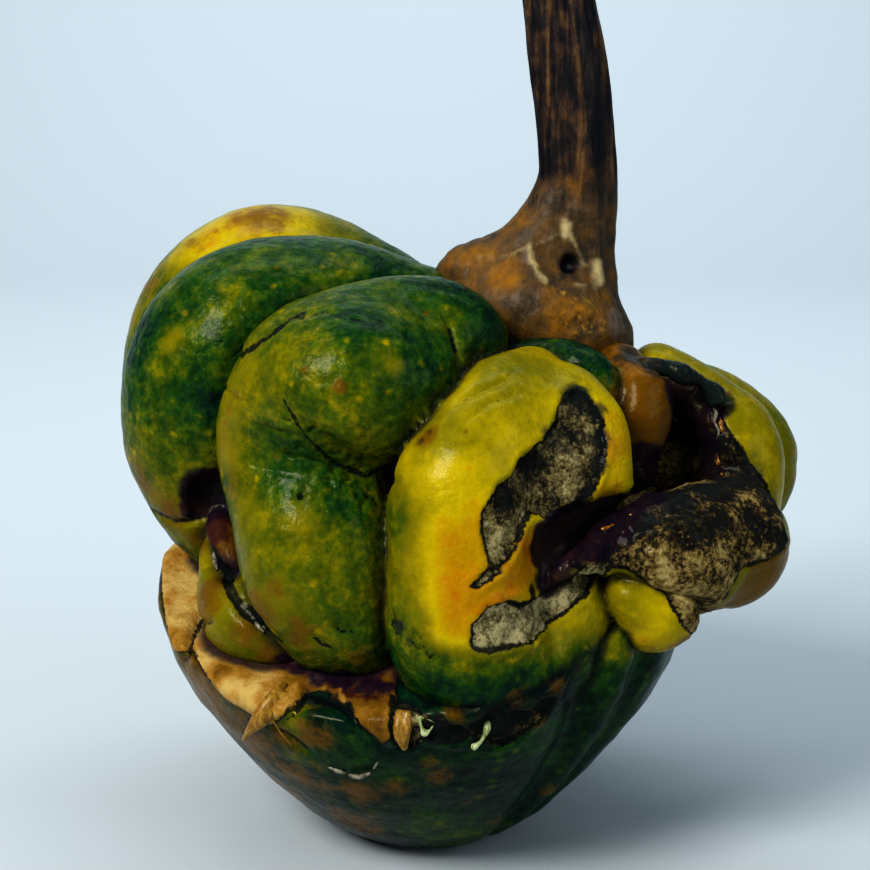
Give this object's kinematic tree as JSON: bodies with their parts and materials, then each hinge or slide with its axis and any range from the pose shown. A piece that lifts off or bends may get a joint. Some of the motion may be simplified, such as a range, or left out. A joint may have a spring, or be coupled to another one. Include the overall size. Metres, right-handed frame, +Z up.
{
  "type": "pumpkin",
  "caption": "Small misshapen pumpkin with a cracked ribbed cup, a crown of swollen folds with corky scars, and a dried woody stem.",
  "frame": {"origin": "middle of the small flat patch that the fruit rests on", "axes": "+Z up along the stem; -Y is the side with the split yellow fold; +X is the side with the dark, corky snout"},
  "size_m": [0.1269, 0.104, 0.166],
  "materials": {
    "skin": "waxy",
    "stem": "dry, fibrous"
  },
  "bodies": {
    "root": {"fruit": "skin", "stem": "stem"}
  },
  "joints": []
}
